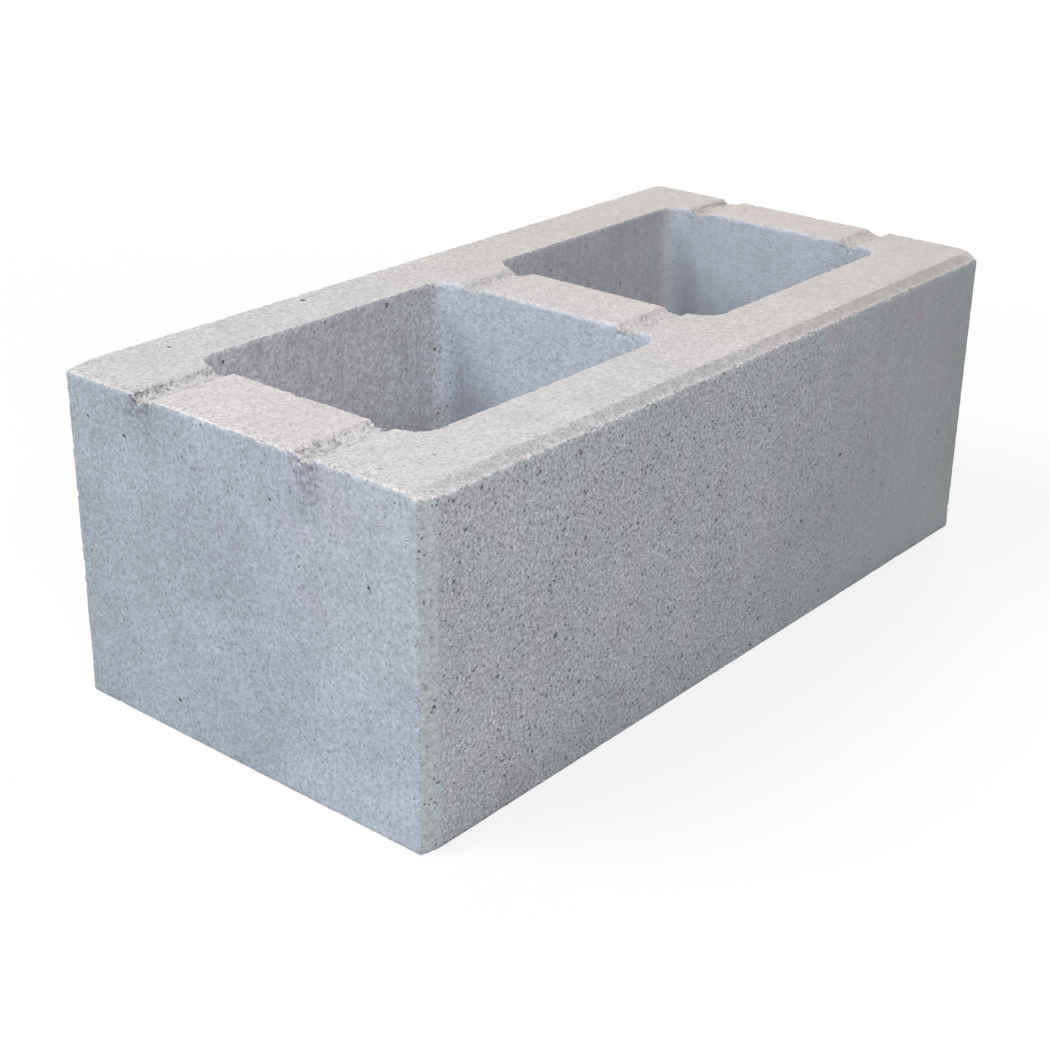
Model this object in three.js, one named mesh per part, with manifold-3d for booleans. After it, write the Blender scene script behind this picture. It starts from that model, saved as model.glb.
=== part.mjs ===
// A hollow concrete masonry block, cast as one piece: two open cells between
// three webs, shallow break-out grooves across the webs, and eased edges.
// Millimetres, +Z up. The origin is the middle of the underside, +X runs along
// the length towards the thinner end web, and +Y runs across the width.

import * as THREE from "three";
import { mergeVertices } from "three/addons/utils/BufferGeometryUtils.js";
import Module from "manifold-3d";

const wasm = await Module();
wasm.setup();

// Overall size
const length = 390;
const width = 190;
const height = 140;

// Walls around the two cells. The front shell is the thicker one.
const frontShell = 38.5;
const backShell = 31;
const nearEndWeb = 41;
const centreWeb = 35;
const farEndWeb = 29.5;
const nearCellLength = 144.5;
const cellCornerRadius = 11;

// Bevels on the upright corners: the reach of each along X and across Y
const nearFrontBevelAlong = 8;
const nearFrontBevelAcross = 2;
const nearBackBevelAlong = 16;
const nearBackBevelAcross = 4;
const farFrontBevelAlong = 5;
const farFrontBevelAcross = 12;
const farBackBevelAlong = 2;
const farBackBevelAcross = 2;

// Chamfer on the long top edge of the front
const chamferWidth = 6.5;
const chamferDrop = 2.5;

// Break-out grooves, two over each web, set in from the long walls of the cells.
// Each falls gently from the web to a bed near its shell, and rises steeply there.
const grooveWidth = 12;
const grooveDepth = 2;
const grooveInset = 18;
const grooveBedShift = 2.5;

// Mesh fineness, and how far a cutting shape runs past what it cuts
const arcSegments = 8;
const cutterOverrun = 4;

const concrete = new THREE.MeshStandardMaterial({
  color: 0xb4b6b4,
  roughness: 0.95,
  metalness: 0,
  flatShading: true,
});

// Cell limits along X and Y, all from the walls above
const endX = length / 2;
const sideY = width / 2;
const cellFrontY = -sideY + frontShell;
const cellBackY = sideY - backShell;
const nearCellStart = -endX + nearEndWeb;
const nearCellEnd = nearCellStart + nearCellLength;
const farCellStart = nearCellEnd + centreWeb;
const farCellEnd = endX - farEndWeb;

// Plan of the solid block: a rectangle with a flat bevel at each corner.
function outerPlan() {
  const plan = new THREE.Shape();
  plan.moveTo(-endX + nearFrontBevelAlong, -sideY);
  plan.lineTo(endX - farFrontBevelAlong, -sideY);
  plan.lineTo(endX, -sideY + farFrontBevelAcross);
  plan.lineTo(endX, sideY - farBackBevelAcross);
  plan.lineTo(endX - farBackBevelAlong, sideY);
  plan.lineTo(-endX + nearBackBevelAlong, sideY);
  plan.lineTo(-endX, sideY - nearBackBevelAcross);
  plan.lineTo(-endX, -sideY + nearFrontBevelAcross);
  plan.closePath();
  return plan;
}

// Plan of one cell: a rectangle with rounded corners.
function cellPlan(startX, stopX) {
  const r = cellCornerRadius;
  const plan = new THREE.Path();
  plan.moveTo(startX + r, cellFrontY);
  plan.lineTo(stopX - r, cellFrontY);
  plan.absarc(stopX - r, cellFrontY + r, r, -Math.PI / 2, 0);
  plan.lineTo(stopX, cellBackY - r);
  plan.absarc(stopX - r, cellBackY - r, r, 0, Math.PI / 2);
  plan.lineTo(startX + r, cellBackY);
  plan.absarc(startX + r, cellBackY - r, r, Math.PI / 2, Math.PI);
  plan.lineTo(startX, cellFrontY + r);
  plan.absarc(startX + r, cellFrontY + r, r, Math.PI, Math.PI * 1.5);
  plan.closePath();
  return plan;
}

// The cast body before its edges are worked: the plan raised to the full height.
function castBody() {
  const plan = outerPlan();
  plan.holes.push(cellPlan(nearCellStart, nearCellEnd));
  plan.holes.push(cellPlan(farCellStart, farCellEnd));
  return new THREE.ExtrudeGeometry(plan, {
    depth: height,
    bevelEnabled: false,
    curveSegments: arcSegments,
  });
}

// A bar along X whose section is drawn in the YZ plane.
function barAlongX(section, startX, stopX) {
  const bar = new THREE.ExtrudeGeometry(section, {
    depth: stopX - startX,
    bevelEnabled: false,
    curveSegments: arcSegments,
  });
  const sectionToWorld = new THREE.Matrix4().makeBasis(
    new THREE.Vector3(0, 1, 0),
    new THREE.Vector3(0, 0, 1),
    new THREE.Vector3(1, 0, 0),
  );
  bar.applyMatrix4(sectionToWorld);
  bar.translate(startX, 0, 0);
  return bar;
}

// Cutter for the chamfer on the front's long top edge. Its sloping face runs
// one chamfer length past both ends of the slope.
function chamferCutter() {
  const outerY = -sideY - chamferWidth;
  const innerY = -sideY + 2 * chamferWidth;
  const section = new THREE.Shape();
  section.moveTo(outerY, height - 2 * chamferDrop);
  section.lineTo(innerY, height + chamferDrop);
  section.lineTo(outerY, height + chamferDrop);
  section.closePath();
  return barAlongX(section, -endX - cutterOverrun, endX + cutterOverrun);
}

// Cutter for one groove, open at the top. towardShell is 1 where its shell lies
// on +Y of it, and -1 where it lies on -Y.
function grooveCutter(middleY, towardShell, startX, stopX) {
  const bottom = height - grooveDepth;
  const top = height + cutterOverrun;
  const webEdge = middleY - (towardShell * grooveWidth) / 2;
  const shellEdge = middleY + (towardShell * grooveWidth) / 2;
  const bed = middleY + towardShell * grooveBedShift;
  const webBend = (webEdge + bed) / 2;
  const shellBend = (bed + shellEdge) / 2;
  const section = new THREE.Shape();
  section.moveTo(webEdge, top);
  section.lineTo(webEdge, height);
  section.quadraticCurveTo(webBend, bottom, bed, bottom);
  section.quadraticCurveTo(shellBend, bottom, shellEdge, height);
  section.lineTo(shellEdge, top);
  section.closePath();
  return barAlongX(section, startX - cutterOverrun, stopX + cutterOverrun);
}

// A closed geometry as a solid that can be cut.
function toSolid(geometry) {
  const bare = geometry.clone();
  bare.deleteAttribute("normal");
  bare.deleteAttribute("uv");
  const merged = mergeVertices(bare);
  return new wasm.Manifold(new wasm.Mesh({
    numProp: 3,
    vertProperties: new Float32Array(merged.attributes.position.array),
    triVerts: new Uint32Array(merged.index.array),
  }));
}

// A cut solid back as a geometry.
function toGeometry(solid) {
  const mesh = solid.getMesh();
  const geometry = new THREE.BufferGeometry();
  geometry.setAttribute("position", new THREE.BufferAttribute(mesh.vertProperties, 3));
  geometry.setIndex(new THREE.BufferAttribute(mesh.triVerts, 1));
  geometry.computeVertexNormals();
  return geometry;
}

function concreteBlock() {
  const webs = [
    [-endX, nearCellStart],
    [nearCellEnd, farCellStart],
    [farCellEnd, endX],
  ];
  const grooveLines = [
    [cellFrontY + grooveInset, -1],
    [cellBackY - grooveInset, 1],
  ];
  let solid = toSolid(castBody());
  solid = solid.subtract(toSolid(chamferCutter()));
  for (const [middleY, towardShell] of grooveLines) {
    for (const [startX, stopX] of webs) {
      solid = solid.subtract(toSolid(grooveCutter(middleY, towardShell, startX, stopX)));
    }
  }
  const mesh = new THREE.Mesh(toGeometry(solid), concrete);
  mesh.name = "concrete_block";
  return mesh;
}

const group = new THREE.Group();
group.add(concreteBlock());

export default group;
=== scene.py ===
# %% [markdown]
# # A hollow concrete block
#
# This scene dresses one cast masonry block. The imported CAD model holds the real sizes: the two open
# cells, the webs, the break-out grooves, the bevels and the eased edge. Blender adds what the mould,
# the sand and some handling leave behind: worn arrises, crumbled grooves, air pores and the
# concrete's own colours, with some light and shade painted into those colours. Everything is in
# metres, with +Z up and the block standing on z = 0.

# %% Load the block
import math

import bmesh
import bpy
from mathutils import Matrix, Vector


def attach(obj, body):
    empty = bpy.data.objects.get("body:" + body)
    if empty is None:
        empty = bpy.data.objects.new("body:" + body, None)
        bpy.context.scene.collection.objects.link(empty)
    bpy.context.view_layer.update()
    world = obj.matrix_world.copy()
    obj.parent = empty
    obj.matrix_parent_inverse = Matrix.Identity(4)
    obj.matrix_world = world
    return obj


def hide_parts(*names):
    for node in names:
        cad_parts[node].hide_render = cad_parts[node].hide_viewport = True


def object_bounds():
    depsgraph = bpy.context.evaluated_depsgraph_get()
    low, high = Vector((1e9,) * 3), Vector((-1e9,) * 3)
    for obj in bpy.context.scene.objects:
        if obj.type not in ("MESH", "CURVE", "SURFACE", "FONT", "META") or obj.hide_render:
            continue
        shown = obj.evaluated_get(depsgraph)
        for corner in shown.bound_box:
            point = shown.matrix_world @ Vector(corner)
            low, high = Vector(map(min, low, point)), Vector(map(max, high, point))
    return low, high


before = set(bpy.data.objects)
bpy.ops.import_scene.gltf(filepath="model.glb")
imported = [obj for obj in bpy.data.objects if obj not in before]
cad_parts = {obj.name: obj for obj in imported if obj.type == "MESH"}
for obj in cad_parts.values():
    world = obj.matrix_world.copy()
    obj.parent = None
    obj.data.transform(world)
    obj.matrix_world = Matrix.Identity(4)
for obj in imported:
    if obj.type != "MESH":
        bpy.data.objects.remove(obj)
cad_low, cad_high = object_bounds()
HALF_LENGTH = cad_high.x
HALF_WIDTH = cad_high.y
HEIGHT = cad_high.z
MM = 0.001

print("block, mm:", [round(side / MM, 1) for side in cad_high - cad_low])

# %% [markdown]
# ## Where the features are
#
# The finish follows a few lines of the casting: wear sits on the rims, crumble in the grooves, and
# stains run down from the grooves' ends. These are the real sizes that the solid was built with. They
# could be measured from its mesh, but a named size is easier to read and to check, so each is
# written once here and every later cell uses it. The near end is the one at the low end of X and the
# front is the long face at the low end of Y, which are the two that the camera sees.

# %% Lines of the casting
FRONT_GROOVE_Y = -38.5 * MM
BACK_GROOVE_Y = 46 * MM
GROOVE_HALF_WIDTH = 6 * MM
GROOVE_DEPTH = 2 * MM
CHAMFER_WIDTH = 6.5 * MM
CHAMFER_DROP = 2.5 * MM
CELL_Y = (-56.5 * MM, 64 * MM)
NEAR_CELL_X = (-154 * MM, -9.5 * MM)
FAR_CELL_X = (25.5 * MM, 165.5 * MM)
CELL_CORNER = 11 * MM

# How far outward of its middle line each groove is worst, first the front one and then the back one:
# where it crumbles most, and where the stains below its ends are darkest.
CRUMBLE_OUTWARD = (-0.5 * MM, 2.5 * MM)
STAIN_OUTWARD = (3 * MM, 3 * MM)

# The flat bevels on the upright corners, as lines on the plan with the block on their left.
BEVELS = (
    ((-195 * MM, -93 * MM), (-187 * MM, -95 * MM)),
    ((190 * MM, -95 * MM), (195 * MM, -83 * MM)),
    ((195 * MM, 93 * MM), (193 * MM, 95 * MM)),
    ((-179 * MM, 95 * MM), (-195 * MM, 91 * MM)),
)

print("cells, mm:", [round((cell[1] - cell[0]) / MM, 1) for cell in (NEAR_CELL_X, FAR_CELL_X, CELL_Y)])

# %% [markdown]
# ## The camera
#
# A block is usually shown from a little above one upright corner, so that the top, an end and a long
# face all read. The camera could be aimed by a Track To constraint, but a position, a point to aim at
# and a small roll written as numbers keep it fixed and easy to reuse.

# %% Camera
CAMERA_AT = Vector((-0.60304, -0.47664, 0.38341))
CAMERA_AIM = Vector((-0.03189, -0.00425, 0.04813))
CAMERA_ROLL = math.radians(0.845)
LENS_MM = 64.04
SENSOR_MM = 36
NEAREST_SEEN = 0.01
FARTHEST_SEEN = 100


def looking(at, aim):
    """The place and turn of a camera or a lamp that stands at one point and looks at another."""
    return Matrix.Translation(at) @ (aim - at).to_track_quat("-Z", "Y").to_matrix().to_4x4()


camera = bpy.data.objects.new("camera", bpy.data.cameras.new("camera"))
bpy.context.scene.collection.objects.link(camera)
camera.data.lens = LENS_MM
camera.data.sensor_width = SENSOR_MM
camera.data.clip_start = NEAREST_SEEN
camera.data.clip_end = FARTHEST_SEEN
camera.matrix_world = looking(CAMERA_AT, CAMERA_AIM) @ Matrix.Rotation(CAMERA_ROLL, 4, "Z")
bpy.context.scene.camera = camera

print("camera to middle of block, m:", round((CAMERA_AT - Vector((0, 0, HEIGHT / 2))).length, 3))

# %% [markdown]
# ## Node helpers
#
# Both Geometry Nodes and shaders are graphs of small nodes. Wiring them by hand takes three lines a
# node, so a few helpers shorten that: one adds a node and fills or links its inputs, and the others
# wrap the nodes that come back most often and hand back the output socket. The one used most is
# ramp: it turns a distance, say 26 mm to 10 mm, into a share from 0 to 1, or from low to high.

# %% Helpers that add a node
def feed(tree, socket, value):
    """Links a socket to an input, or writes a plain value into it."""
    if isinstance(value, bpy.types.NodeSocket):
        tree.links.new(value, socket)
    else:
        socket.default_value = value


def node(tree, kind, inputs=None, **settings):
    """Adds a node with its settings, then fills its inputs, given by name or number."""
    made = tree.nodes.new(kind)
    for name, value in settings.items():
        setattr(made, name, value)
    for key, value in (inputs or {}).items():
        feed(tree, made.inputs[key], value)
    return made


# %% Helpers for sums
ONE_INPUT = ("ABSOLUTE", "SQRT")


def maths(tree, operation, first, second=0.0, clamp=False):
    """One operation on a number, or on two."""
    inputs = {0: first} if operation in ONE_INPUT else {0: first, 1: second}
    return node(tree, "ShaderNodeMath", inputs, operation=operation, use_clamp=clamp).outputs[0]


def product(tree, first, *others):
    """All the numbers multiplied together."""
    for other in others:
        first = maths(tree, "MULTIPLY", first, other)
    return first


def least(tree, first, *others):
    """The smallest of the numbers."""
    for other in others:
        first = maths(tree, "MINIMUM", first, other)
    return first


def rest_of(tree, share):
    """What a share leaves of 1."""
    return maths(tree, "SUBTRACT", 1.0, share)


def off_line(tree, value, line):
    """How far a value lies from a line, on either side."""
    return maths(tree, "ABSOLUTE", maths(tree, "SUBTRACT", value, line))


# %% Helpers for ramps and noise
def ramp(tree, value, start, stop, low=0.0, high=1.0, curve="SMOOTHSTEP"):
    """A smooth step: low where value is at start, high where it is at stop."""
    inputs = {"Value": value, "From Min": start, "From Max": stop, "To Min": low, "To Max": high}
    return node(tree, "ShaderNodeMapRange", inputs, interpolation_type=curve).outputs["Result"]


def moved(tree, place, shift):
    """The same place shifted far away, so that a texture shows another part of its pattern."""
    return node(tree, "ShaderNodeVectorMath", {0: place, 1: shift}, operation="ADD").outputs[0]


def noise(tree, place, size, detail=2.0, roughness=0.5, shift=0.0):
    """Soft noise from 0 to 1 whose lumps are about size metres across."""
    there = moved(tree, place, (shift, shift * 0.7, -shift))
    inputs = {"Vector": there, "Scale": 1 / size, "Detail": detail, "Roughness": roughness}
    return node(tree, "ShaderNodeTexNoise", inputs).outputs[0]


# %% Helpers that measure the plan of the block
def off_grooves(tree, y, front_outward=0.0, back_outward=0.0):
    """Distance across the block from the nearer groove's middle line, or from a line outward of it."""
    off_front = off_line(tree, y, FRONT_GROOVE_Y - front_outward)
    off_back = off_line(tree, y, BACK_GROOVE_Y + back_outward)
    return least(tree, off_front, off_back)


def cell_gap(tree, x, y, cell_x):
    """Distance on the plan from a cell's rounded outline, measured out into the concrete."""
    beyond = []
    for along, (low, high) in ((x, cell_x), (y, CELL_Y)):
        off_middle = off_line(tree, along, (low + high) / 2)
        past_corner = maths(tree, "SUBTRACT", off_middle, (high - low) / 2 - CELL_CORNER)
        beyond.append(maths(tree, "MAXIMUM", past_corner, 0.0))
    squares = maths(tree, "ADD", product(tree, beyond[0], beyond[0]), product(tree, beyond[1], beyond[1]))
    return maths(tree, "SUBTRACT", maths(tree, "SQRT", squares), CELL_CORNER)


def to_nearest_cell(tree, x, y):
    """Distance on the plan from the nearer of the two cells."""
    return least(tree, cell_gap(tree, x, y, NEAR_CELL_X), cell_gap(tree, x, y, FAR_CELL_X))


def bevel_gap(tree, x, y, start, stop):
    """Distance on the plan from a bevel's line, measured into the block on its left-hand side."""
    run = math.dist(start, stop)
    across_x = (start[1] - stop[1]) / run
    across_y = (stop[0] - start[0]) / run
    off_x = maths(tree, "MULTIPLY", maths(tree, "SUBTRACT", x, start[0]), across_x)
    off_y = maths(tree, "MULTIPLY", maths(tree, "SUBTRACT", y, start[1]), across_y)
    return maths(tree, "ADD", off_x, off_y)


# %% [markdown]
# ## The blank
#
# The CAD solid has perfectly straight edges and only a few long triangles, which can't be worn. It
# could be cut finer with Subdivide, but its triangles are slivers and would stay slivers. A voxel
# Remesh instead lays an even grid of small faces over the same solid, ready to be displaced. The
# imported mesh is loose triangles, so a copy is merged first. A second copy stays as it is, to
# measure distances from.

# %% Merged copies of the solid
SAME_POINT = 0.001 * MM


def merged_copy(name, source):
    """A new object with the source's mesh, its doubled corners welded."""
    work = bmesh.new()
    work.from_mesh(source.data)
    bmesh.ops.remove_doubles(work, verts=work.verts, dist=SAME_POINT)
    mesh = bpy.data.meshes.new(name)
    work.to_mesh(mesh)
    work.free()
    made = bpy.data.objects.new(name, mesh)
    bpy.context.scene.collection.objects.link(made)
    return made


casting_guide = merged_copy("casting_guide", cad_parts["concrete_block"])
block = merged_copy("cast_block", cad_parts["concrete_block"])
print("corners after welding:", len(block.data.vertices))

# %% Fine grid over the solid
GRID = 0.8 * MM

fine = block.modifiers.new("Fine grid", "REMESH")
fine.mode = "VOXEL"
fine.voxel_size = GRID
print("grid, mm:", GRID / MM)

# %% [markdown]
# ## Trees with named inputs
#
# A Geometry Nodes tree is easier to reuse when its sizes are inputs with names. They could be added
# by hand in the editor; here a Python dictionary of names and sizes makes them. Another helper writes
# a modifier's inputs: it looks the names up, but writes by the socket's identifier, because that is
# what the modifier stores.

# %% Helpers for Geometry Nodes
def new_tree(name, sizes):
    """An empty tree for a modifier, with its inputs; hands back the tree, its inputs and its output."""
    tree = bpy.data.node_groups.new(name, "GeometryNodeTree")
    tree.interface.new_socket("Geometry", in_out="INPUT", socket_type="NodeSocketGeometry")
    tree.interface.new_socket("Casting Guide", in_out="INPUT", socket_type="NodeSocketObject")
    tree.interface.new_socket("Finish", in_out="INPUT", socket_type="NodeSocketMaterial")
    for size_name, size in sizes.items():
        socket = tree.interface.new_socket(size_name, in_out="INPUT", socket_type="NodeSocketFloat")
        socket.default_value = size
    tree.interface.new_socket("Geometry", in_out="OUTPUT", socket_type="NodeSocketGeometry")
    given = tree.nodes.new("NodeGroupInput").outputs
    return tree, given, tree.nodes.new("NodeGroupOutput").inputs[0]


def close_tree(tree, given, result, geometry):
    """Ends a tree: instances become real and everything takes the finish."""
    real = node(tree, "GeometryNodeRealizeInstances", {0: geometry}).outputs[0]
    coated = node(tree, "GeometryNodeSetMaterial", {"Geometry": real, "Material": given["Finish"]})
    feed(tree, result, coated.outputs[0])


def guide_shape(tree, given):
    """The mesh of the solid that a tree measures from."""
    return node(tree, "GeometryNodeObjectInfo", {"Object": given["Casting Guide"]}).outputs["Geometry"]


def set_inputs(modifier, values):
    """Writes a node modifier's inputs, found by their names, through the sockets' identifiers."""
    for item in modifier.node_group.interface.items_tree:
        if item.in_out == "INPUT" and item.name in values:
            modifier[item.identifier] = values[item.name]


# %% [markdown]
# ## Worn arrises and crumbled grooves
#
# Dry-cast concrete leaves the mould with sharp edges that lose grains at once, so every arris is
# rounded by a millimetre or so, unevenly, and a few small chips are gone. The foot lies on a flat
# steel pallet, and its edges stay crisper. The break-out grooves are pressed into half-set concrete
# and crumble more. Sculpting could do it, but one tree does it by rule: measure the distance to the
# nearest sharp edge of the solid, then sink each point below the true surface by an amount that grows
# towards the edge, in the grooves, and with noise. Points only ever move inwards, so the block keeps
# its size.

# %% Geometry Nodes: distance to the nearest arris
SHARPEST_SOFT_TURN = math.radians(25)


def arris_distance(tree, given):
    """Distance from each point to the closest sharp edge of the solid."""
    shape = guide_shape(tree, given)
    turn = node(tree, "GeometryNodeInputMeshEdgeAngle").outputs["Unsigned Angle"]
    soft = node(tree, "FunctionNodeCompare", {0: turn, 1: SHARPEST_SOFT_TURN}, operation="LESS_THAN")
    inputs = {"Geometry": shape, "Selection": soft.outputs[0]}
    edges = node(tree, "GeometryNodeDeleteGeometry", inputs, domain="EDGE", mode="EDGE_FACE")
    near = node(tree, "GeometryNodeProximity", {0: edges.outputs[0]}, target_element="EDGES")
    return near.outputs["Distance"]


# %% Geometry Nodes: wear of the arrises
def arris_wear(tree, given, place, z):
    """How deep the arrises are rounded and chipped."""
    distance = arris_distance(tree, given)

    # Rounding: steepest at the arris, with a width that wanders along it.
    wandering = noise(tree, place, 3.4 * MM, detail=3.0, roughness=0.65)
    wander = ramp(tree, wandering, 0.3, 0.72, 0.55, 1.35, "LINEAR")
    reach = maths(tree, "MULTIPLY", given["Round Width"], wander)
    near = maths(tree, "SUBTRACT", 1.0, maths(tree, "DIVIDE", distance, reach), clamp=True)
    rounding = product(tree, near, near, wander, given["Round Depth"])

    # Chips: small bites, far apart, that go a little deeper than the rounding.
    from_arris = maths(tree, "DIVIDE", distance, given["Chip Width"])
    within = maths(tree, "SUBTRACT", 1.0, from_arris, clamp=True)
    where = ramp(tree, noise(tree, place, 6 * MM, detail=2.0, roughness=0.6, shift=3.1), 0.56, 0.66)
    ragged = noise(tree, place, 1.8 * MM, detail=2.0, roughness=0.5, shift=1.7)
    bite = ramp(tree, ragged, 0.3, 0.65, 0.3, 1.0)
    chips = product(tree, within, where, bite, given["Chip Depth"])

    # The foot is crisper: it loses about a third of what the other arrises lose.
    at_foot = ramp(tree, z, 2 * MM, 10 * MM, 0.35, 1.0)
    return product(tree, maths(tree, "ADD", rounding, chips), at_foot)


# %% Geometry Nodes: crumble of the grooves
def groove_crumble(tree, given, place, x, y, z):
    """How deep the grooves are crumbled: loose all over, and worst beside the cells."""
    loose = ramp(tree, off_grooves(tree, y, *CRUMBLE_OUTWARD), GROOVE_HALF_WIDTH + 2 * MM, 2 * MM)
    top = ramp(tree, z, HEIGHT - GROOVE_DEPTH - 4 * MM, HEIGHT - GROOVE_DEPTH - 0.5 * MM)
    crumbs = ramp(tree, noise(tree, place, 1.9 * MM, detail=2.0, roughness=0.6, shift=5.3), 0.35, 0.65)
    broken = noise(tree, place, 6 * MM, detail=2.0, roughness=0.6, shift=7.7)
    patches = ramp(tree, broken, 0.38, 0.6, 0.25, 1.0)
    break_away = ramp(tree, to_nearest_cell(tree, x, y), 8 * MM, 1 * MM, 1.0, 1.5)
    fading = ramp(tree, x, -150 * MM, 0.0, 1.0, 0.6)
    return product(tree, loose, top, crumbs, patches, break_away, fading, given["Crumble Depth"])


# %% Geometry Nodes: the weathering tree
WEAR_SIZES = {
    "Round Width": 1.8 * MM,
    "Round Depth": 0.45 * MM,
    "Chip Width": 2.4 * MM,
    "Chip Depth": 0.9 * MM,
    "Crumble Depth": 1.1 * MM,
}


def weathering_tree():
    """Lays the grid on the true faces, then sinks it at the arrises and in the grooves."""
    tree, given, result = new_tree("Weathered casting", WEAR_SIZES)
    solid = guide_shape(tree, given)
    onto = node(tree, "GeometryNodeProximity", {0: solid}, target_element="FACES").outputs["Position"]
    inputs = {"Geometry": given["Geometry"], "Position": onto}
    true_grid = node(tree, "GeometryNodeSetPosition", inputs).outputs[0]
    place = node(tree, "GeometryNodeInputPosition").outputs[0]
    x, y, z = node(tree, "ShaderNodeSeparateXYZ", {0: place}).outputs

    wear = arris_wear(tree, given, place, z)
    crumble = groove_crumble(tree, given, place, x, y, z)
    sink = maths(tree, "ADD", wear, crumble)
    normal = node(tree, "GeometryNodeInputNormal").outputs[0]
    inward = node(tree, "ShaderNodeVectorMath", {0: normal}, operation="SCALE")
    feed(tree, inward.inputs["Scale"], maths(tree, "MULTIPLY", sink, -1.0))
    worn = node(tree, "GeometryNodeSetPosition", {"Geometry": true_grid, "Offset": inward.outputs[0]})
    close_tree(tree, given, result, worn.outputs[0])
    return tree


print("wear, mm:", {name: round(size / MM, 2) for name, size in WEAR_SIZES.items()})

# %% [markdown]
# ## Air pores
#
# Air trapped against the mould leaves round pits one to two millimetres wide, most of them in the
# long faces. They could be painted as dark dots, but the larger ones catch light and shadow, so they
# are real holes: points are scattered over the solid, never closer than a few millimetres, each gets
# a small lumpy ball of its own size and turn, and all the balls are cut away in one boolean. The
# finest pores stay in the finish, where they cost nothing.

# %% Geometry Nodes: where the pores are
PORE_SEED = 7
PORE_SIZES = {
    "Least Radius": 0.45 * MM,
    "Greatest Radius": 1.2 * MM,
    "Spacing": 3 * MM,
    "Pores per Square Metre": 7000.0,
    "Share Off the Long Faces": 0.1,
    "Share in the Cells": 0.3,
}


def pore_points(tree, given):
    """Scattered points: most on the long outer faces, and fewer towards their far end."""
    shape = guide_shape(tree, given)
    facing = node(tree, "GeometryNodeInputNormal").outputs[0]
    aside = maths(tree, "ABSOLUTE", node(tree, "ShaderNodeSeparateXYZ", {0: facing}).outputs[1])
    share = ramp(tree, aside, 0.4, 0.9, given["Share Off the Long Faces"], 1.0)
    place = node(tree, "GeometryNodeInputPosition").outputs[0]
    x, y, _ = node(tree, "ShaderNodeSeparateXYZ", {0: place}).outputs
    outside = ramp(tree, maths(tree, "ABSOLUTE", y), 70 * MM, 90 * MM, given["Share in the Cells"], 1.0)
    share = product(tree, share, outside, ramp(tree, x, 40 * MM, HALF_LENGTH, 1.0, 0.2))
    inputs = {
        "Mesh": shape,
        "Distance Min": given["Spacing"],
        "Density Max": given["Pores per Square Metre"],
        "Density Factor": share,
        "Seed": PORE_SEED,
    }
    return node(tree, "GeometryNodeDistributePointsOnFaces", inputs, distribute_method="POISSON").outputs


# %% Geometry Nodes: the balls that cut the pores
LEAST_STRETCH = 0.75
GREATEST_STRETCH = 1.2


def random_number(tree, low, high, shift):
    """A random number for each point, always the same for the same shift."""
    inputs = {2: low, 3: high, "Seed": PORE_SEED + shift}
    return node(tree, "FunctionNodeRandomValue", inputs, data_type="FLOAT").outputs[1]


def pore_balls(tree, given, points):
    """A ball on each point, of its own size, stretched its own way; small ones are commonest."""
    ball = node(tree, "GeometryNodeMeshIcoSphere", {"Radius": 1.0, "Subdivisions": 2}).outputs[0]
    skew = maths(tree, "POWER", random_number(tree, 0.0, 1.0, 1), 2.0)
    radius = ramp(tree, skew, 0.0, 1.0, given["Least Radius"], given["Greatest Radius"], "LINEAR")
    stretches = [random_number(tree, LEAST_STRETCH, GREATEST_STRETCH, shift) for shift in (2, 3, 4)]
    sides = {axis: product(tree, radius, stretch) for axis, stretch in enumerate(stretches)}
    scale = node(tree, "ShaderNodeCombineXYZ", sides).outputs[0]
    inputs = {
        "Points": points["Points"],
        "Instance": ball,
        "Rotation": points["Rotation"],
        "Scale": scale,
    }
    balls = node(tree, "GeometryNodeInstanceOnPoints", inputs).outputs[0]
    return node(tree, "GeometryNodeRealizeInstances", {0: balls}).outputs[0]


# %% Geometry Nodes: the pore tree
def pore_tree():
    """Cuts scattered pits into the block."""
    tree, given, result = new_tree("Air pores", PORE_SIZES)
    balls = pore_balls(tree, given, pore_points(tree, given))
    inputs = {"Mesh 1": given["Geometry"], "Mesh 2": balls}
    pitted = node(tree, "GeometryNodeMeshBoolean", inputs, operation="DIFFERENCE", solver="MANIFOLD")
    close_tree(tree, given, result, pitted.outputs[0])
    return tree


print("pore radius, mm:", PORE_SIZES["Least Radius"] / MM, "to", PORE_SIZES["Greatest Radius"] / MM)

# %% [markdown]
# ## The concrete
#
# One casting has one mix, yet its faces look different. The top was levelled by a shoe and shows pale
# sand; the ends and sides slid along steel and have a smooth cement skin, blotched by moisture. Part of
# the difference is painted light as well: the top is painted lighter than the sides, the faces that
# look along x are painted bluer, and the cell walls are painted lighter than the outer faces, to make
# up for the shade in the cells. An image texture would fix all that to one block, so the finish is
# worked out instead from Object coordinates, which lets every grain sit at its real size in three
# dimensions, with no seams. The next cells build it in layers: a tint for each way a face looks, and
# then one number that darkens or lightens the tint, from the broad blotches, through painted light
# and shade, down to the dirt.

# %% Colours of the mix
# Each tint is the face's own colour with painted light in it: the top and web tints are painted lighter,
# as lit from above, the end tints bluer, as lit by cool light from that side, and the cell tints lighter
# than the outer ones, to make up for the shade in the cells.
END_TINT_AND_PAINTED_LIGHT = (0.351, 0.394, 0.446)
LONG_FACE_TINT_AND_PAINTED_LIGHT = (0.360, 0.394, 0.408)
CELL_END_TINT_AND_PAINTED_LIGHT = (0.522, 0.567, 0.640)
CELL_LONG_TINT_AND_PAINTED_LIGHT = (0.568, 0.568, 0.603)
TOP_TINT_AND_PAINTED_LIGHT = (0.590, 0.578, 0.585)
WEB_TINT_AND_PAINTED_LIGHT = (0.618, 0.594, 0.602)

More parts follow.
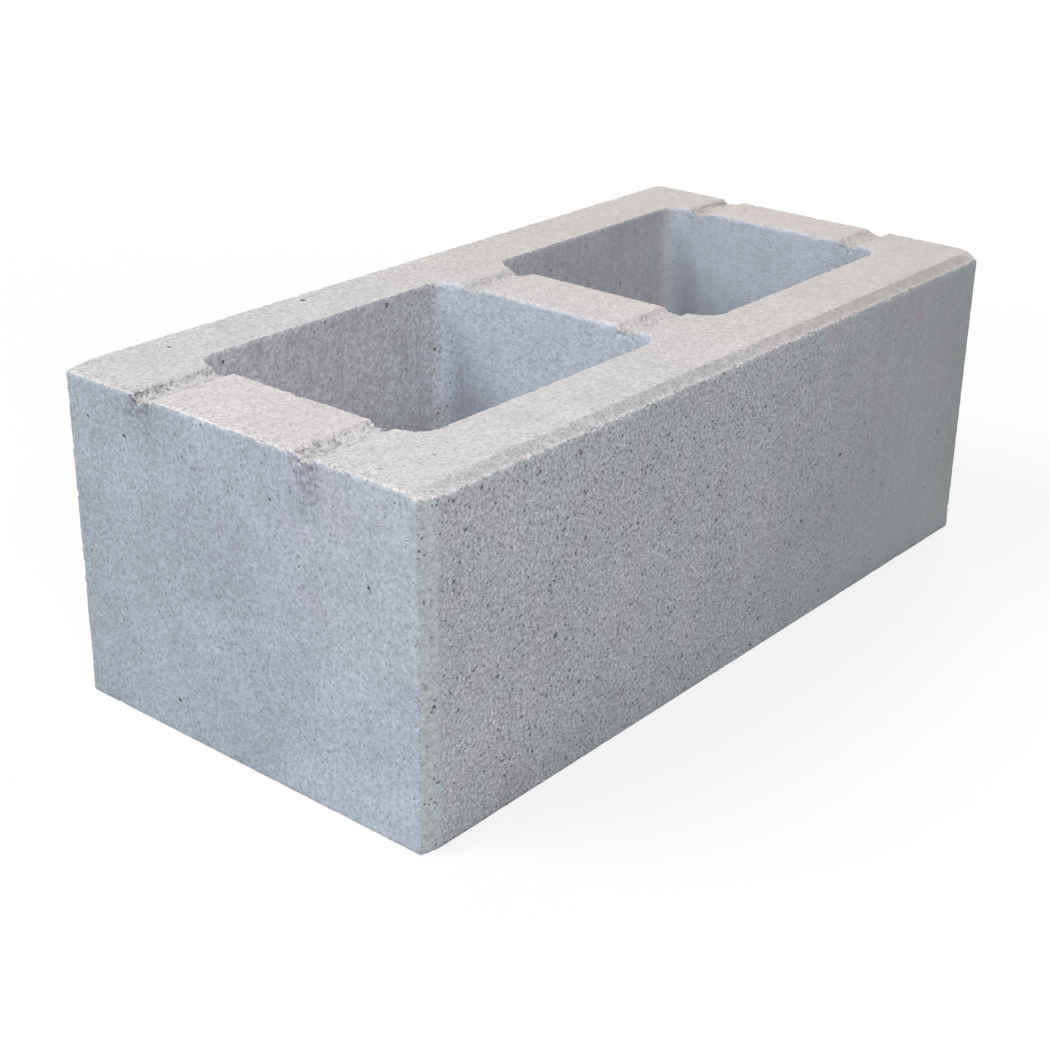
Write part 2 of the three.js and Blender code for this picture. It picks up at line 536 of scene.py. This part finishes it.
# Changes to those tints, each as a factor on red, green and blue.
MAUVE = (1.09, 0.962, 1.03)
WARM_CORNER = (1.01, 1.0, 0.965)
WARM_FAR_TOP = (1.0, 0.971, 0.932)

print("tints:", END_TINT_AND_PAINTED_LIGHT, LONG_FACE_TINT_AND_PAINTED_LIGHT, TOP_TINT_AND_PAINTED_LIGHT)


# %% Helpers for the finish
def mixed(tree, factor, first, second, blend="MIX"):
    """Two colours mixed or blended."""
    inputs = {0: factor, 6: first, 7: second}
    return node(tree, "ShaderNodeMix", inputs, data_type="RGBA", blend_type=blend).outputs[2]


def tinted(tree, factor, colour, tint):
    """A colour, multiplied by a tint where the factor is 1."""
    return mixed(tree, factor, colour, mixed(tree, 1.0, colour, (*tint, 1), "MULTIPLY"))


def scaled(tree, colour, factor):
    """A colour times a number."""
    made = node(tree, "ShaderNodeVectorMath", {0: colour}, operation="SCALE")
    feed(tree, made.inputs["Scale"], factor)
    return made.outputs[0]


def around_one(tree, value, spread):
    """A number from 0 to 1 turned into a factor that varies about 1 by half the spread each way."""
    return maths(tree, "ADD", 1.0, product(tree, maths(tree, "SUBTRACT", value, 0.5), spread))


def between(tree, factor, low, high):
    """A number that goes evenly from low to high as the factor goes from 0 to 1."""
    return ramp(tree, factor, 0.0, 1.0, low, high, "LINEAR")


# %% Helper for specks
LATTICE_TURN = (0.5, 0.8, 0.3)
SPECK_EDGE = (1.15, 0.75)


def specks(tree, place, spacing, smallest, largest, share, shift=0.0):
    """Round specks, one in some of the cells of a lattice: 1 inside a speck, 0 outside."""
    turned = {"Vector": moved(tree, place, (shift, -shift, shift * 0.4)), "Rotation": LATTICE_TURN}
    there = node(tree, "ShaderNodeVectorRotate", turned, rotation_type="EULER_XYZ").outputs[0]
    lattice = {"Vector": there, "Scale": 1 / spacing}
    cells = node(tree, "ShaderNodeTexVoronoi", lattice, feature="F1").outputs
    chance = node(tree, "ShaderNodeSeparateColor", {0: cells["Color"]}).outputs
    radius = ramp(tree, chance[0], 0.0, 1.0, smallest / spacing, largest / spacing, "LINEAR")
    present = ramp(tree, chance[1], share + 0.01, share)
    ratio = maths(tree, "DIVIDE", cells["Distance"], radius)
    return maths(tree, "MULTIPLY", ramp(tree, ratio, *SPECK_EDGE), present)


# %% Start of the finish: where a point lies and which way it faces
concrete = bpy.data.materials.new("dry_cast_concrete")
concrete.use_nodes = True
mix = concrete.node_tree
shader = mix.nodes["Principled BSDF"]

coordinates = node(mix, "ShaderNodeTexCoord").outputs
place = coordinates["Object"]
x, y, z = node(mix, "ShaderNodeSeparateXYZ", {0: place}).outputs

# The squares of a normal's three parts add up to 1, so toward_x is the share that looks along x.
facing = coordinates["Normal"]
squares = node(mix, "ShaderNodeVectorMath", {0: facing, 1: facing}, operation="MULTIPLY").outputs[0]
toward_x = node(mix, "ShaderNodeSeparateXYZ", {0: squares}).outputs[0]
up = ramp(mix, node(mix, "ShaderNodeSeparateXYZ", {0: facing}).outputs[2], 0.35, 0.8)
upright = rest_of(mix, up)
print("nodes so far:", len(mix.nodes))

# %% Distances to the outer faces, to the cells, and below the top
to_end = maths(mix, "SUBTRACT", HALF_LENGTH, maths(mix, "ABSOLUTE", x))
to_long = maths(mix, "SUBTRACT", HALF_WIDTH, maths(mix, "ABSOLUTE", y))
bevel_gaps = [bevel_gap(mix, x, y, start, stop) for start, stop in BEVELS]
to_bevel = least(mix, *bevel_gaps)
to_side = least(mix, to_end, to_long, *bevel_gaps)
to_cell = to_nearest_cell(mix, x, y)
to_front = maths(mix, "ADD", y, HALF_WIDTH)
chamfer_fall = ramp(mix, to_front, 0.0, CHAMFER_WIDTH, CHAMFER_DROP, 0.0, "LINEAR")
below_top = maths(mix, "SUBTRACT", maths(mix, "SUBTRACT", HEIGHT, chamfer_fall), z)

# The share that is cell wall, and the share that is an end or a long face.
inner = maths(mix, "MULTIPLY", ramp(mix, to_side, 5 * MM, 12 * MM), upright)
on_outside = product(mix, upright, rest_of(mix, inner))
print("nodes so far:", len(mix.nodes))

# %% [markdown]
# ### Tints
#
# Cement skin is grey, but never one grey: it shifts between mauve and green where the mix held more
# or less water. That could be painted by hand. Here soft noise chooses the places, and ramps hold
# them to where a block shows them: over the long faces, but less at their far foot; hardly on the
# ends, but for the wall under the front groove; and not on the bevels.

# %% Tint of the ends and the long faces
MAUVE_PATCH = 24 * MM
DRIFT_SLOPE = 0.33

outer = mixed(mix, toward_x, (*LONG_FACE_TINT_AND_PAINTED_LIGHT, 1), (*END_TINT_AND_PAINTED_LIGHT, 1))
hue = ramp(mix, noise(mix, place, MAUVE_PATCH, detail=3.0, roughness=0.6, shift=2.3), 0.46, 0.6)

# Drift falls towards the far foot of a long face, and the mauve fades out with it.
drift = maths(mix, "SUBTRACT", z, product(mix, maths(mix, "ADD", x, HALF_LENGTH), DRIFT_SLOPE))
near_groove = ramp(mix, off_line(mix, y, FRONT_GROOVE_Y), 26 * MM, 10 * MM)
under_groove = product(mix, near_groove, ramp(mix, z, 70 * MM, 110 * MM))
end_hue = between(mix, under_groove, 0.25, 0.8)
long_hue = ramp(mix, drift, -80 * MM, 10 * MM)
hue = product(mix, hue, between(mix, toward_x, long_hue, end_hue))
hue = product(mix, hue, ramp(mix, to_bevel, 0.1 * MM, 1 * MM))
outer = tinted(mix, hue, outer, MAUVE)

# The upper front corner of an end is a little warmer.
by_corner = ramp(mix, y, -30 * MM, -60 * MM)
by_corner = product(mix, toward_x, by_corner, ramp(mix, z, 50 * MM, 100 * MM))
outer = tinted(mix, by_corner, outer, WARM_CORNER)
print("nodes so far:", len(mix.nodes))

# %% Tint of the cell walls
# Painted light: the walls that look along x take the bluer tint, and the change to it is kept sharp
# halfway round each corner.
turned = ramp(mix, toward_x, 0.2, 0.5)
cell_wall = mixed(mix, turned, (*CELL_LONG_TINT_AND_PAINTED_LIGHT, 1), (*CELL_END_TINT_AND_PAINTED_LIGHT, 1))

# Full strength halfway round a cell's corner, where the wall faces both ways alike.
in_corner = product(mix, toward_x, rest_of(mix, toward_x), 4.0)
in_far_cell = ramp(mix, x, NEAR_CELL_X[1], FAR_CELL_X[0])

# Painted light and shade: the walls are painted darker downwards, the far cell darker than the near
# one, the near cell's long walls darker towards the far end, and the middle of each corner lighter.
low_painted_shade = between(mix, turned, 0.88, 0.83)
high_painted_light = between(mix, turned, 1.02, 1.04)
near_cell_painted_shade = between(mix, turned, ramp(mix, x, -150 * MM, -20 * MM, 1.05, 0.96), 1.0)
far_cell_painted_shade = between(mix, turned, 0.93, ramp(mix, z, 60 * MM, 120 * MM, 0.88, 0.92))
cell_painted_light_and_shade = product(
    mix,
    ramp(mix, z, 40 * MM, HEIGHT, low_painted_shade, high_painted_light),
    between(mix, in_corner, 1.0, 1.12),
    between(mix, in_far_cell, near_cell_painted_shade, far_cell_painted_shade),
)
cell_wall = scaled(mix, cell_wall, cell_painted_light_and_shade)
print("nodes so far:", len(mix.nodes))

# %% Tint of the top, and all the tints together
WEB_MIDDLE_Y = (FRONT_GROOVE_Y + BACK_GROOVE_Y) / 2

on_web = ramp(mix, off_line(mix, y, WEB_MIDDLE_Y), 44 * MM, 38 * MM)
top_tint_and_painted_light = mixed(mix, on_web, (*TOP_TINT_AND_PAINTED_LIGHT, 1), (*WEB_TINT_AND_PAINTED_LIGHT, 1))
top_tint_and_painted_light = tinted(mix, ramp(mix, x, -60 * MM, 150 * MM), top_tint_and_painted_light, WARM_FAR_TOP)
colour = mixed(mix, up, mixed(mix, inner, outer, cell_wall), top_tint_and_painted_light)
print("nodes so far:", len(mix.nodes))

# %% [markdown]
# ### Blotches, streaks and grain
#
# Sand, cement and water never mix evenly, so there is pattern at every size, from clouds as wide as
# a hand to single grains. One rough noise could hold them all, but then their strengths could not
# differ from face to face, as they do: the long faces are the sandiest, and smooth out towards the
# far end, and the rim of the top is rougher than its middle. So each size is a noise of its own, and
# gain says how strong the grain is. The streaks are noise stretched upwards, as the mould drew them.

# %% How strong the grain is
TOP_GAIN = 0.5
BEVEL_GAIN = 0.7
RIM_GAIN = 1.35

on_bevel = product(mix, ramp(mix, to_bevel, 0.3 * MM, 0.1 * MM), upright)
outer_gain = between(mix, toward_x, 0.9, 0.58)
cell_gain = between(mix, toward_x, 0.68, 0.43)
gain = between(mix, up, between(mix, inner, outer_gain, cell_gain), TOP_GAIN)
on_end = product(mix, toward_x, rest_of(mix, inner))
smoother = between(mix, on_end, ramp(mix, x, -20 * MM, 170 * MM, 1.0, 0.35), 1.0)
rough_rim = product(mix, ramp(mix, to_side, 12 * MM, 6 * MM), up)
gain = product(
    mix,
    gain,
    smoother,
    between(mix, on_bevel, 1.0, BEVEL_GAIN),
    between(mix, rough_rim, 1.0, RIM_GAIN),
)
print("nodes so far:", len(mix.nodes))

# %% Pattern of every size
UPWARD_STRETCH = (1.0, 1.0, 0.06)
GRIT_STRENGTH = 1.25
DUST_STRENGTH = 1.3

cloud = noise(mix, place, 60 * MM, detail=2.0, roughness=0.5, shift=4.1)
blotches = noise(mix, place, 22 * MM, detail=3.0, roughness=0.6, shift=5.9)
lumps = noise(mix, place, 5 * MM, detail=2.0, roughness=0.6, shift=6.7)
grit = noise(mix, place, 1.7 * MM, detail=1.0, roughness=0.5, shift=1.1)
dust = noise(mix, place, 0.8 * MM, detail=0.0, roughness=0.5, shift=9.1)
tall = node(mix, "ShaderNodeVectorMath", {0: place, 1: UPWARD_STRETCH}, operation="MULTIPLY").outputs[0]
streaks = noise(mix, tall, 3 * MM, detail=2.0, roughness=0.6, shift=3.3)

blotch_spread = between(mix, toward_x, 0.16, between(mix, inner, 0.34, 0.26))
shade = product(
    mix,
    around_one(mix, cloud, between(mix, up, between(mix, toward_x, 0.12, 0.28), 0.1)),
    around_one(mix, blotches, between(mix, up, blotch_spread, 0.2)),
    around_one(mix, lumps, between(mix, up, between(mix, inner, 0.2, 0.26), 0.28)),
    around_one(mix, grit, product(mix, gain, GRIT_STRENGTH)),
    around_one(mix, dust, product(mix, gain, gain, DUST_STRENGTH)),
    around_one(mix, streaks, product(mix, upright, between(mix, inner, 0.16, 0.24))),
)
print("nodes so far:", len(mix.nodes))

# %% [markdown]
# ### Painted light and slow changes
#
# Each face is painted lighter or darker from side to side, as painted light and shade. A gradient
# texture could give one such change; a few ramps over the real distances give them all. An end is
# painted palest towards the front, and has a damp patch at mid-height. A long face is painted darkest
# at the far end and near the top, and palest at the far foot, as light bounced up from the floor.

# %% Painted light over the ends, and a damp patch
DAMP_PATCH = (9 * MM, 84 * MM, 0.0)
DAMP_SHADE = 0.93

# Painted light: an end is painted darker towards its back and lighter towards its front.
end_painted_light_and_damp = ramp(mix, y, 90 * MM, 60 * MM, 0.96, 1.0)
end_painted_light_and_damp = product(mix, end_painted_light_and_damp, ramp(mix, y, -10 * MM, -70 * MM, 0.98, 1.06))
patch = node(mix, "ShaderNodeCombineXYZ", {0: product(mix, y, 0.5), 1: z}).outputs[0]
off_patch = node(mix, "ShaderNodeVectorMath", {0: patch, 1: DAMP_PATCH}, operation="DISTANCE")
damp = ramp(mix, off_patch.outputs["Value"], 4 * MM, 30 * MM, DAMP_SHADE, 1.0)
end_painted_light_and_damp = product(mix, end_painted_light_and_damp, damp)
print("nodes so far:", len(mix.nodes))

# %% Painted light and shade over the long faces
# Painted light and shade: a long face is painted darker towards the far end and towards the top, paler at
# the far foot, as light bounced up from the floor, and darker at mid-height near the far end.
foot_painted_light = ramp(mix, x, -150 * MM, 20 * MM, 0.98, 1.09)
waist_painted_shade = ramp(mix, x, -20 * MM, 150 * MM, 1.0, 0.945)
height_painted_shade = between(mix, ramp(mix, z, 110 * MM, HEIGHT), waist_painted_shade, 1.0)
long_painted_light = product(
    mix,
    ramp(mix, x, -HALF_LENGTH, 140 * MM, 1.03, 0.98),
    ramp(mix, x, 140 * MM, HALF_LENGTH, 1.0, 0.965),
    ramp(mix, z, 0.0, HEIGHT, 1.04, 0.97),
    between(mix, ramp(mix, z, 5 * MM, 45 * MM), foot_painted_light, height_painted_shade),
)
outer_painted_light_and_damp = between(mix, toward_x, long_painted_light, end_painted_light_and_damp)
shade = product(mix, shade, between(mix, on_outside, 1.0, outer_painted_light_and_damp))
print("nodes so far:", len(mix.nodes))

# %% [markdown]
# ### Specks, fine pores and pits
#
# Pale sand grains show through the skin, and the finest air pores are far too many to cut. Both could
# be scattered geometry, but at half a millimetre a Voronoi lattice is enough: some of its cells hold
# one round speck each, and a pore's speck is painted dark, as painted shade in a hole with no depth.
# The pits that are cut for real get painted shade too, darker than the lamps make them: a point that
# lies below the true faces and away from the arrises is in a pit.

# %% Sand specks and the finest pores
PALE_SAND = 1.12
FINE_PORE_PAINTED_SHADE = 0.3

pale = specks(mix, place, spacing=2.6 * MM, smallest=0.2 * MM, largest=0.6 * MM, share=0.25, shift=0.7)
pores = specks(mix, place, spacing=2.2 * MM, smallest=0.2 * MM, largest=0.7 * MM, share=0.62, shift=2.9)
outer_pores = between(mix, toward_x, ramp(mix, x, -20 * MM, 160 * MM, 1.0, 0.15), 0.5)
in_near_corner = product(mix, in_corner, rest_of(mix, in_far_cell))
cell_pores = between(mix, in_near_corner, between(mix, in_far_cell, 0.4, 0.28), 0.85)
pores = product(mix, pores, between(mix, up, between(mix, inner, outer_pores, cell_pores), 0.4))
crowding = noise(mix, place, 12 * MM, detail=2.0, roughness=0.6, shift=7.1)
pores = product(mix, pores, ramp(mix, crowding, 0.35, 0.6, 0.55, 1.15))
# The pores are painted dark, as painted shade.
shade = product(mix, shade, between(mix, pale, 1.0, PALE_SAND), between(mix, pores, 1.0, FINE_PORE_PAINTED_SHADE))
print("nodes so far:", len(mix.nodes))

# %% Painted shade in the pits
CHAMFER_COSINE = 0.93
PIT_PAINTED_SHADE = 0.33

# Sound is the skin clear of the arrises, corners, foot and grooves, so that wear isn't taken for pits.
to_rim = least(mix, to_side, to_cell)
depth = least(mix, to_rim, maths(mix, "MULTIPLY", below_top, CHAMFER_COSINE))
to_corner = maths(mix, "SUBTRACT", maths(mix, "MAXIMUM", to_end, to_long), 4 * MM)
clear = least(mix, maths(mix, "MAXIMUM", to_rim, below_top), to_corner, z)
clear_of_grooves = maths(mix, "MAXIMUM", off_grooves(mix, y), below_top)
sound = product(mix, ramp(mix, clear, 1 * MM, 3 * MM), ramp(mix, clear_of_grooves, 7 * MM, 8.5 * MM))
pit = product(mix, ramp(mix, depth, 0.15 * MM, 0.55 * MM), sound)
shade = product(mix, shade, between(mix, pit, 1.0, PIT_PAINTED_SHADE))
print("nodes so far:", len(mix.nodes))

# %% [markdown]
# ### Rims, bevels and the eased edge
#
# Where grains have broken away the fresh concrete is paler, so the worn rims are lighter, and they also
# carry a painted highlight, strongest on the rims of the top. The bevels are painted lighter, as the
# light that falls on them. The eased edge is painted darker, as painted shade on its slope, but for a
# painted highlight along its outer lip, and a thin painted contact shadow runs along the foot of the
# block. An edge-wear node group would find edges by curvature; plain distances find them too, and keep
# them at their real width.

# %% Pale rims, with painted highlight, and painted light on the bevels
RIM_WEAR_AND_HIGHLIGHT = 1.08
TOP_RIM_WEAR_AND_HIGHLIGHT = 1.16
BEVEL_PAINTED_LIGHT = 1.05

# The rims are paler from wear and from a painted highlight; the bevels are painted lighter, as lit.
rim_squares = maths(mix, "ADD", product(mix, to_rim, to_rim), product(mix, below_top, below_top))
worn = ramp(mix, maths(mix, "SQRT", rim_squares), 2.6 * MM, 0.6 * MM)
worn = product(mix, worn, between(mix, grit, 0.6, 1.4))
shade = product(
    mix,
    shade,
    between(mix, worn, 1.0, between(mix, up, TOP_RIM_WEAR_AND_HIGHLIGHT, RIM_WEAR_AND_HIGHLIGHT)),
    between(mix, on_bevel, 1.0, BEVEL_PAINTED_LIGHT),
)
print("nodes so far:", len(mix.nodes))

# %% The eased edge and the foot
LIP_PAINTED_HIGHLIGHT = 1.06
FOOT_PAINTED_SHADOW = 0.84

# Painted shade on the eased edge's slope, darkest towards its inner side and further along the block.
past_tip = ramp(mix, to_end, 4 * MM, 16 * MM)
uneven = noise(mix, place, 5 * MM, detail=3.0, roughness=0.6, shift=5.3)
chamfer_painted_shade = product(
    mix,
    ramp(mix, to_front, CHAMFER_WIDTH + 0.8 * MM, CHAMFER_WIDTH - 0.6 * MM),
    up,
    past_tip,
    ramp(mix, to_front, 0.6 * MM, 1.6 * MM),
    ramp(mix, to_front, 1.6 * MM, 4 * MM, 0.75, 1.0),
    ramp(mix, uneven, 0.35, 0.65, 0.7, 1.25),
)
# A painted highlight along the eased edge's outer lip.
lip_highlight = product(mix, ramp(mix, to_front, 1.8 * MM, 0.8 * MM), up)
# A thin painted contact shadow runs along the foot of the outer faces.
shade = product(
    mix,
    shade,
    between(mix, chamfer_painted_shade, 1.0, ramp(mix, x, -HALF_LENGTH, -20 * MM, 0.86, 0.775)),
    between(mix, lip_highlight, 1.0, LIP_PAINTED_HIGHLIGHT),
    between(mix, on_outside, 1.0, ramp(mix, z, 0.5 * MM, 2.2 * MM, FOOT_PAINTED_SHADOW, 1.0)),
)
print("nodes so far:", len(mix.nodes))

# %% [markdown]
# ### Dirt, and painted shade in the grooves
#
# Broken concrete is rough and holds dirt: in the grooves, in a mottled mouth on the walls just below
# their ends, and in a faint run further down. In the grooves the darkening is partly painted shade,
# for the shade in their hollows. It is worst at the near end of the block. Dirt could be a second
# material mixed over the first, but it only darkens, so it is a few more factors.

# %% Dirt and painted shade in the grooves
GROOVE_DIRT_AND_SHADE = 0.96
BED_DIRT_AND_SHADE = 0.72

in_top = product(mix, ramp(mix, below_top, 7 * MM, 3 * MM), ramp(mix, to_cell, -2 * MM, 0.0))
broken = ramp(mix, noise(mix, place, 3.2 * MM, detail=2.0, roughness=0.6, shift=8.3), 0.5, 0.6)
dirt_and_shade = ramp(mix, x, -150 * MM, 0.0, 1.0, 0.45)
groove = product(mix, ramp(mix, off_grooves(mix, y), 8 * MM, 4 * MM), in_top)
bed = product(mix, ramp(mix, off_grooves(mix, y, *CRUMBLE_OUTWARD), 7 * MM, 3 * MM), in_top)
# Dirt and painted shade: the whole groove is painted a little darker, and broken patches along its bed
# darker still.
shade = product(
    mix,
    shade,
    between(mix, groove, 1.0, GROOVE_DIRT_AND_SHADE),
    between(mix, product(mix, bed, broken, dirt_and_shade), 1.0, BED_DIRT_AND_SHADE),
)
print("nodes so far:", len(mix.nodes))

# %% Stains below the grooves' ends
MOUTH_SHADE = 0.66
RUN_SHADE = 0.92

mottle = ramp(mix, noise(mix, place, 2.2 * MM, detail=2.0, roughness=0.6, shift=8.9), 0.42, 0.58)
at_back = ramp(mix, y, -10 * MM, 10 * MM)
off_stain = off_grooves(mix, y, *STAIN_OUTWARD)
mouth = product(
    mix,
    ramp(mix, off_stain, between(mix, at_back, 7 * MM, 12 * MM), 3 * MM),
    ramp(mix, below_top, between(mix, at_back, 36 * MM, 20 * MM), 5 * MM),
    upright,
    between(mix, inner, 1.0, 0.5),
)
run = product(
    mix,
    ramp(mix, off_grooves(mix, y), 18 * MM, 2 * MM),
    ramp(mix, below_top, 42 * MM, 2 * MM),
    upright,
    between(mix, inner, 1.0, 0.4),
)
shade = product(
    mix,
    shade,
    between(mix, product(mix, mouth, mottle, dirt_and_shade), 1.0, MOUTH_SHADE),
    between(mix, run, 1.0, RUN_SHADE),
)
feed(mix, shader.inputs["Base Color"], scaled(mix, colour, shade))
print("nodes so far:", len(mix.nodes))

# %% [markdown]
# ### Grain that can be felt
#
# The grit and the dust are also relief, a few tenths of a millimetre high, too fine to be worth
# faces. A Bump node takes it from the same two noises as the colour, so that each grain's shade and
# its shape agree. Concrete is matt, and its specular level is set low on the shader itself.

# %% Relief and roughness
GRIT_HEIGHT = 0.3
DUST_HEIGHT = 0.12
SMOOTHEST = 0.86
ROUGHEST = 0.96
SPECULAR_LEVEL = 0.3

relief = maths(mix, "ADD", product(mix, grit, GRIT_HEIGHT), product(mix, dust, DUST_HEIGHT))
bump = node(mix, "ShaderNodeBump", {"Height": relief, "Strength": 1.0, "Distance": MM})
feed(mix, shader.inputs["Normal"], bump.outputs[0])
feed(mix, shader.inputs["Roughness"], ramp(mix, grit, 0.3, 0.7, SMOOTHEST, ROUGHEST, "LINEAR"))
shader.inputs["Specular IOR Level"].default_value = SPECULAR_LEVEL
print("nodes in the finish:", len(mix.nodes))

# %% [markdown]
# ## Running the modifiers
#
# The grid, the wear and the pores are a stack of modifiers, and together they leave over a million
# triangles. Decimate, as the last of them, keeps the small faces where the surface bends and thins
# out the flat ones, which is just what a block needs. Its result is then read from the dependency
# graph as a plain mesh, and the modifiers and the guide are removed. A coarser Remesh would leave few
# triangles too, but would round the fine chips away. Thinning leaves some points on top of each
# other, with slivers between them, which would be faults in an exported block, so the last cell
# merges them.

# %% Weather, pit and thin out
KEPT_SHARE = 0.13

for title, tree in (("Weathered casting", weathering_tree()), ("Air pores", pore_tree())):
    step = block.modifiers.new(title, "NODES")
    step.node_group = tree
    set_inputs(step, {"Casting Guide": casting_guide, "Finish": concrete})
thin = block.modifiers.new("Fewer faces", "DECIMATE")
thin.ratio = KEPT_SHARE

finished = bpy.data.meshes.new_from_object(block.evaluated_get(bpy.context.evaluated_depsgraph_get()))
block.modifiers.clear()
block.data = finished
bpy.data.objects.remove(casting_guide)
print("triangles:", sum(len(face.vertices) - 2 for face in finished.polygons))

# %% Merge the points that fell together and drop the slivers
skin = bmesh.new()
skin.from_mesh(finished)
bmesh.ops.remove_doubles(skin, verts=skin.verts[:], dist=SAME_POINT)
bmesh.ops.dissolve_degenerate(skin, edges=skin.edges[:], dist=SAME_POINT)
open_edges = sum(not edge.is_manifold for edge in skin.edges)
skin.to_mesh(finished)
skin.free()
print("triangles:", sum(len(face.vertices) - 2 for face in finished.polygons))
print("open edges:", open_edges)

# %% [markdown]
# ## Light
#
# A plain soft studio: a dim white room for even fill, one large soft key from the upper left and a
# little behind, and two weaker lamps, one in front for the long face and a low warm one beyond the
# far end. Point lamps and a sun would give hard shadows, so these are area lamps, because a big,
# near lamp gives soft shadows by its size alone.

# %% Lamps
def area_lamp(name, at, size, power, colour):
    """A square soft lamp that points at the middle of the block."""
    lamp = bpy.data.lights.new(name, "AREA")
    lamp.size = size
    lamp.energy = power
    lamp.color = colour
    made = bpy.data.objects.new(name, lamp)
    bpy.context.scene.collection.objects.link(made)
    made.matrix_world = looking(Vector(at), Vector((0, 0, HEIGHT / 2)))


area_lamp("key_light", at=(-1.3, 0.9, 1.9), size=1.2, power=38, colour=(0.98, 0.99, 1.0))
area_lamp("front_light", at=(-0.8, -0.95, 0.9), size=0.7, power=10.3, colour=(1.0, 1.0, 1.0))
area_lamp("far_light", at=(1.6, 0.5, 0.8), size=0.8, power=16, colour=(1.0, 0.92, 0.82))

# %% The white room
WHITE = (1, 1, 1, 1)
ROOM_STRENGTH = 0.19

world = bpy.data.worlds.new("white_room")
bpy.context.scene.world = world
world.use_nodes = True
room = world.node_tree
room.nodes.clear()
fill = node(room, "ShaderNodeBackground", {"Color": WHITE, "Strength": ROOM_STRENGTH})
seen = node(room, "ShaderNodeBackground", {"Color": WHITE, "Strength": 1.0})
ray = node(room, "ShaderNodeLightPath").outputs["Is Camera Ray"]
both = node(room, "ShaderNodeMixShader", {0: ray, 1: fill.outputs[0], 2: seen.outputs[0]})
node(room, "ShaderNodeOutputWorld", {0: both.outputs[0]})

bpy.context.scene.view_settings.view_transform = "Standard"
print("room strength:", ROOM_STRENGTH)

# %% [markdown]
# ## The floor
#
# A plain pale floor, far larger than the block, so that it meets the white room without a visible
# edge. To the camera it glows white, but for a share near the block that is lit as usual and so
# keeps the soft shadow. A white room with no floor would be simpler, but then nothing would say
# that the block stands on something.

# %% Floor
FLOOR_HALF = 30.0
CORNERS = ((-1, -1), (1, -1), (1, 1), (-1, 1))

floor_mesh = bpy.data.meshes.new("floor")
floor_points = [(FLOOR_HALF * along, FLOOR_HALF * across, 0) for along, across in CORNERS]
floor_mesh.from_pydata(floor_points, [], [(0, 1, 2, 3)])
floor = bpy.data.objects.new("floor", floor_mesh)
bpy.context.scene.collection.objects.link(floor)
print("floor, m:", 2 * FLOOR_HALF)

# %% Floor paint
PALE_PAINT = (0.93, 0.93, 0.93, 1)
LIT_SHARE = 0.2
SHADOW_REACH = (0.35, 0.9)

floor_paint = bpy.data.materials.new("floor_paint")
floor_paint.use_nodes = True
paint = floor_paint.node_tree
paint.nodes.clear()
floor_place = node(paint, "ShaderNodeTexCoord").outputs["Object"]
away = node(paint, "ShaderNodeVectorMath", {0: floor_place}, operation="LENGTH").outputs["Value"]
glow_share = ramp(paint, away, *SHADOW_REACH, 1 - LIT_SHARE, 1.0)
ray = node(paint, "ShaderNodeLightPath").outputs["Is Camera Ray"]
glow_share = maths(paint, "MULTIPLY", glow_share, ray)
lit = node(paint, "ShaderNodeBsdfDiffuse", {"Color": PALE_PAINT})
glow = node(paint, "ShaderNodeEmission", {"Color": WHITE, "Strength": 1.0})
coat = node(paint, "ShaderNodeMixShader", {0: glow_share, 1: lit.outputs[0], 2: glow.outputs[0]})
node(paint, "ShaderNodeOutputMaterial", {0: coat.outputs[0]})
floor_mesh.materials.append(floor_paint)
print("lit share of the floor near the block:", LIT_SHARE)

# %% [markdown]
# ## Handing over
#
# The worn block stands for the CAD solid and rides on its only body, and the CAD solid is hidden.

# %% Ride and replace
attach(block, "root")
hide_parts("concrete_block")
